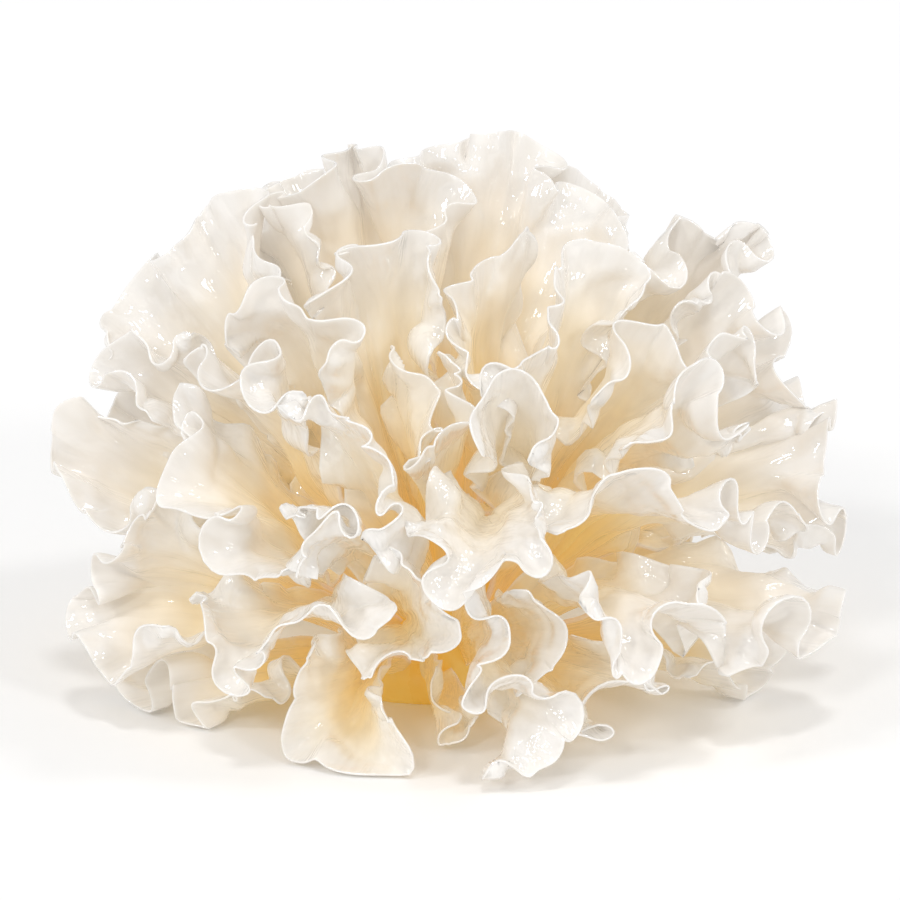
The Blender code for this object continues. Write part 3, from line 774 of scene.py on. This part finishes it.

# %% [markdown]
# The flesh is a clear jelly. Light goes in, is tinted and comes out elsewhere, so the middle of the
# head glows amber and the thin sheets look almost white. Real scattering through so many thin
# sheets takes long to render. So the tint goes by place, with painted light in it: amber within an
# upright heart, partly the jelly's own tint and partly painted shade of the recesses, milk white
# beyond it, whiter still near the free edge, with a painted highlight as a thin bright line on the
# rim. The light that comes out is a painted glow in the same tints, an emission that stands in for
# the light scattered through the jelly.

# %% Flesh colour
HEART_SHAPE = (1.0, 1.1, 0.75)  # the amber heart stands up in the middle, so height counts less
HEART_EDGES = (0.020, 0.070)  # from where the flesh is all amber to where it is all milk white
# The amber towards the heart is partly the jelly's own tint and partly painted shade: the warm
# light that the recesses get through the jelly.
FLESH_AND_SHADE_COLOURS = (  # how far it is from the heart to the milk white, and its colour
    (0.00, (0.77, 0.49, 0.10, 1.0)),
    (0.30, (0.79, 0.56, 0.19, 1.0)),
    (0.60, (0.79, 0.70, 0.54, 1.0)),
    (0.95, (0.77, 0.73, 0.68, 1.0)),
)
PAINTED_GLOW_COLOURS = (  # the painted glow there, an emission that stands in for light scattered through the flesh
    (0.00, (0.260, 0.170, 0.025, 1.0)),
    (0.30, (0.245, 0.175, 0.050, 1.0)),
    (0.60, (0.215, 0.180, 0.115, 1.0)),
    (0.95, (0.165, 0.152, 0.132, 1.0)),
)
RIM_WHITE = (0.775, 0.755, 0.73, 1.0)
RIM_PAINTED_GLOW = (0.145, 0.138, 0.128, 1.0)
RIM_PAINTED_HIGHLIGHT = (0.22, 0.22, 0.215, 1.0)
STREAK_CREAM = (0.78, 0.73, 0.64, 1.0)
PAINTED_GLOW_STRENGTH = 1.0
# A noise has its lumps in a metre, its detail and its roughness. A span has the two values
# between which something changes, and what it is at each. Distances from the free edge are in
# millimetres there, and the others in metres.
PATCH_NOISE = (45.0, 2.0, 0.5)
WANDER_BY_PATCH = (0.3, 0.7, -0.005, 0.005)
WHITE_BY_EDGE = (0.0, 15.0, 0.85, 0.0)
WHITE_BY_DEPTH = (0.1, 0.8, 0.35, 1.0)
HIGHLIGHT_BY_EDGE = (0.2, 1.0, 0.8, 0.0)
CREAM_BY_STREAK = (0.35, 0.70, 0.0, 0.35)
PALE_BY_STREAK = (0.35, 0.75, 0.0, 0.25)


def colour_flesh_and_paint_light(n, at, streaks):
    """The flesh's colour, with painted shade in the amber heart, and its painted glow and rim
    highlight, by how far it is from the heart and from the edge.
    """
    from_heart = n.vector("LENGTH", n.vector("MULTIPLY", at.from_centre, HEART_SHAPE))
    wander = n.span(n.noise(at.place, *PATCH_NOISE), *WANDER_BY_PATCH)
    # Amber towards the heart: partly the jelly's own tint, partly painted shade of the recesses.
    depth = n.span(n.math("ADD", from_heart, wander), *HEART_EDGES)
    near_rim = n.span(at.edge, *WHITE_BY_EDGE, smooth=True)
    whiteness = n.math("MULTIPLY", near_rim, n.span(depth, *WHITE_BY_DEPTH))
    colour = n.mix(whiteness, n.ramp(depth, FLESH_AND_SHADE_COLOURS), RIM_WHITE)
    colour = n.mix(n.span(streaks, *CREAM_BY_STREAK), colour, STREAK_CREAM, "MULTIPLY")
    # Painted glow: an emission in the flesh's tints that stands in for light scattered through the
    # jelly.
    glow = n.mix(whiteness, n.ramp(depth, PAINTED_GLOW_COLOURS), RIM_PAINTED_GLOW)
    glow = n.mix(n.span(streaks, *PALE_BY_STREAK), glow, RIM_PAINTED_GLOW)
    # A painted highlight: a thin brighter line of glow along the rim.
    glow = n.mix(n.span(at.edge, *HIGHLIGHT_BY_EDGE, smooth=True), glow, RIM_PAINTED_HIGHLIGHT)
    n.finish_with(Base_Color=colour, Emission_Color=glow, Emission_Strength=PAINTED_GLOW_STRENGTH)


print("heart from", HEART_EDGES[0] / MM, "to", HEART_EDGES[1] / MM, "mm")

# %% [markdown]
# A film of water lies on the skin. It is a clear coat, and it is what gives the small sharp
# glints. It gathers in patches and near the free edge, and elsewhere the skin is only damp. Its
# dents are wide and shallow, because many fine ones would scatter each glint into a dull shine.

# %% Wet skin
STREAK_NOISE = (1.0, 1.5, 0.5)
STREAK_STRETCH = (22.0, 12.0)  # how often it changes in a radian around and a metre outwards
WRINKLE_NOISE = (1.0, 1.0, 0.4)
WRINKLE_STRETCH = (45.0, 60.0)
CRUMPLE_NOISE = (260.0, 1.0, 0.5)
ROUGH_BY_CRUMPLE = (0.3, 0.7, 0.42, 0.58)
DENT_NOISE = (230.0, 0.0, 0.5)
WET_NOISE = (60.0, 1.0, 0.5)
WET_BY_PATCH = (0.36, 0.50, 0.25, 1.0)
WET_BY_EDGE = (4.0, 22.0, 1.0, 0.3)
STREAK_BUMP = (0.25, 0.0006)  # strength, and depth in metres
WRINKLE_BUMP = (0.8, 0.0007)
DENT_BUMP = (0.8, 0.0016)
JELLY_IOR = 1.42
FILM_IOR = 2.0  # over water's 1.33, for what many drops and both faces of the film send back
FILM_ROUGHNESS = 0.04


def growth_noise(n, at, stretch, settings):
    """Noise drawn out along the lines that run from the growth centre."""
    around, outwards = stretch
    place = n.vector("ADD", n.scaled(at.outward, around), n.scaled(at.from_centre, outwards))
    return n.noise(place, *settings)


def wet_skin(n, at, streaks):
    """The damp skin, and the film of water on it."""
    wrinkles = growth_noise(n, at, WRINKLE_STRETCH, WRINKLE_NOISE)
    wet_patches = n.span(n.noise(at.place, *WET_NOISE), *WET_BY_PATCH, smooth=True)
    skin = n.bump(*STREAK_BUMP, streaks)
    wrinkled = n.bump(*WRINKLE_BUMP, wrinkles, Normal=skin)
    film = n.bump(*DENT_BUMP, n.noise(at.place, *DENT_NOISE), Normal=wrinkled)
    n.finish_with(
        Roughness=n.span(n.noise(at.place, *CRUMPLE_NOISE), *ROUGH_BY_CRUMPLE),
        IOR=JELLY_IOR,
        Normal=skin,
        Coat_Weight=n.math("MULTIPLY", wet_patches, n.span(at.edge, *WET_BY_EDGE)),
        Coat_Roughness=FILM_ROUGHNESS,
        Coat_IOR=FILM_IOR,
        Coat_Normal=film,
    )


def jelly_material():
    n = Nodes("jelly")
    at = Places(n)
    streaks = growth_noise(n, at, STREAK_STRETCH, STREAK_NOISE)
    colour_flesh_and_paint_light(n, at, streaks)
    wet_skin(n, at, streaks)
    n.material.cycles.emission_sampling = "NONE"  # the glow is too weak to light anything else
    return n.material


JELLY = jelly_material()
print("jelly nodes", len(JELLY.node_tree.nodes))

# %% [markdown]
# Each fine frond now takes the jelly, rides on the fungus's one body and stands for its solid.
# The solid stays in the physics model, where a few plain faces are all that is needed.

# %% Fronds
for name, piece in FRONDS.items():
    piece.data.materials.append(JELLY)
    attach(piece, "root")
    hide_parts(name)
print("dressed", len(FRONDS), "fronds")

# %% [markdown]
# The base is the knob that sat on the wood. It is firmer and lumpy, and the fronds' roots run into
# it, so its skin swells a little between them. Its cut face stays flat on the table. It has the
# heart's amber, with a painted glow of the same amber in it, and shines evenly where the fronds
# keep it wet.

# %% Base
BASE_SUBDIVISIONS = 2
BASE_LUMPS = ((9.0, 1.6), (4.0, 0.8))  # size and height in millimetres
BASE_SWELL = 0.5 * MM
CUT_LEVEL = 0.3 * MM
BASE_NOISE = (120.0, 3.0, 0.5)
AMBER_BY_LUMP = (0.3, 0.7)
AMBERS = ((0.78, 0.44, 0.09, 1.0), (0.82, 0.57, 0.20, 1.0))
BASE_PAINTED_GLOW = 0.8
SHINE_BY_LUMP = (0.3, 0.7, 0.22, 0.40)
BASE_BUMP = (0.5, 0.001)


def base_material():
    n = Nodes("amber_base")
    lumps = n.noise(n.add("ShaderNodeTexCoord").outputs["Object"], *BASE_NOISE)
    n.finish_with(
        Base_Color=n.mix(n.span(lumps, *AMBER_BY_LUMP), *AMBERS),
        # A painted glow in the heart's amber, standing in for light scattered through the jelly.
        Emission_Color=PAINTED_GLOW_COLOURS[0][1],
        Emission_Strength=BASE_PAINTED_GLOW,
        Roughness=n.span(lumps, *SHINE_BY_LUMP),
        Normal=n.bump(*BASE_BUMP, lumps),
    )
    return n.material


def swollen(places):
    """The base's places pushed out in lumps, with the cut left flat."""
    outward = from_growth_centre(places)[1]
    swell = np.full(len(places), BASE_SWELL)
    for size, height in BASE_LUMPS:
        swell += height * MM * SWING * noise(places / (size * MM))
    above_cut = places[:, 2] > CUT_LEVEL
    outward[:, 2] = np.where(above_cut, outward[:, 2], 0.0)
    moved = places + outward * swell[:, None]
    moved[:, 2] = np.where(above_cut, np.maximum(moved[:, 2], CUT_LEVEL), places[:, 2])
    return moved


def make_base():
    mesh = bpy.data.meshes.new("lumpy_base")
    skin = merged_skin("base")
    skin.to_mesh(mesh)
    skin.free()
    piece = bpy.data.objects.new("lumpy_base", mesh)
    bpy.context.scene.collection.objects.link(piece)
    fine = piece.modifiers.new("fine", "SUBSURF")
    fine.subdivision_type = "SIMPLE"
    fine.levels = fine.render_levels = BASE_SUBDIVISIONS
    make_active(piece)
    bpy.ops.object.modifier_apply(modifier=fine.name)
    places = np.zeros(len(mesh.vertices) * 3, np.float32)
    mesh.vertices.foreach_get("co", places)
    moved = swollen(places.reshape(-1, 3).astype(float))
    mesh.vertices.foreach_set("co", moved.astype(np.float32).ravel())
    mesh.shade_smooth()
    mesh.materials.append(base_material())
    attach(piece, "root")
    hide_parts("base")
    return piece


print("base faces", len(make_base().data.polygons))

# %% [markdown]
# The head stands on a white table in a light tent: an even white surround, and five small lamps
# far off. The surround gives the soft shade between the folds. Each lamp is only nine degrees
# wide, so that the wet film throws its image back as a small sharp glint, and together they come
# from all sides of the camera, so that the glints are spread over the head.

# %% Studio
FLOOR_SIZE = 8.0
FLOOR_WHITE = (0.99, 0.99, 0.99, 1.0)
FLOOR_ROUGHNESS = 0.6
FLOOR_GLOSS = 0.2
TENT_WHITE = (1.0, 1.0, 1.0, 1.0)
TENT_STRENGTH = 0.58
LAMP_WIDTH = 9.0  # in degrees, seen from the table
LAMPS = (  # name, towards it, strength
    ("lamp_left", (-0.75, -0.40, 0.65), 0.46),
    ("lamp_front_left", (-0.32, -0.80, 0.58), 0.46),
    ("lamp_top", (0.05, -0.25, 1.00), 0.50),
    ("lamp_front_right", (0.50, -0.62, 0.45), 0.40),
    ("lamp_right", (0.75, -0.05, 0.72), 0.40),
)


def add_floor():
    bpy.ops.mesh.primitive_plane_add(size=FLOOR_SIZE, location=(0.0, 0.0, 0.0))
    floor = bpy.context.active_object
    floor.name = "floor"
    n = Nodes("floor_white")
    n.finish_with(
        Base_Color=FLOOR_WHITE, Roughness=FLOOR_ROUGHNESS, Specular_IOR_Level=FLOOR_GLOSS)
    floor.data.materials.append(n.material)


def add_lamp(name, towards, strength):
    """A far small lamp, as even over the whole table as a distant window's light."""
    data = bpy.data.lights.new(name, "SUN")
    data.energy = strength
    data.angle = math.radians(LAMP_WIDTH)
    light = bpy.data.objects.new(name, data)
    bpy.context.scene.collection.objects.link(light)
    light.rotation_euler = Vector(towards).to_track_quat("Z", "Y").to_euler()


def add_tent():
    world = bpy.data.worlds.new("light_tent")
    world.use_nodes = True
    background = world.node_tree.nodes["Background"]
    background.inputs["Color"].default_value = TENT_WHITE
    background.inputs["Strength"].default_value = TENT_STRENGTH
    bpy.context.scene.world = world


add_floor()
add_tent()
for lamp in LAMPS:
    add_lamp(*lamp)
bpy.context.scene.view_settings.view_transform = "Standard"
print("lamps", len(LAMPS), "tent", TENT_STRENGTH)

# %% [markdown]
# The model gives the real size, and the fine surface has to stay inside its box.

# %% Size
bpy.context.view_layer.update()
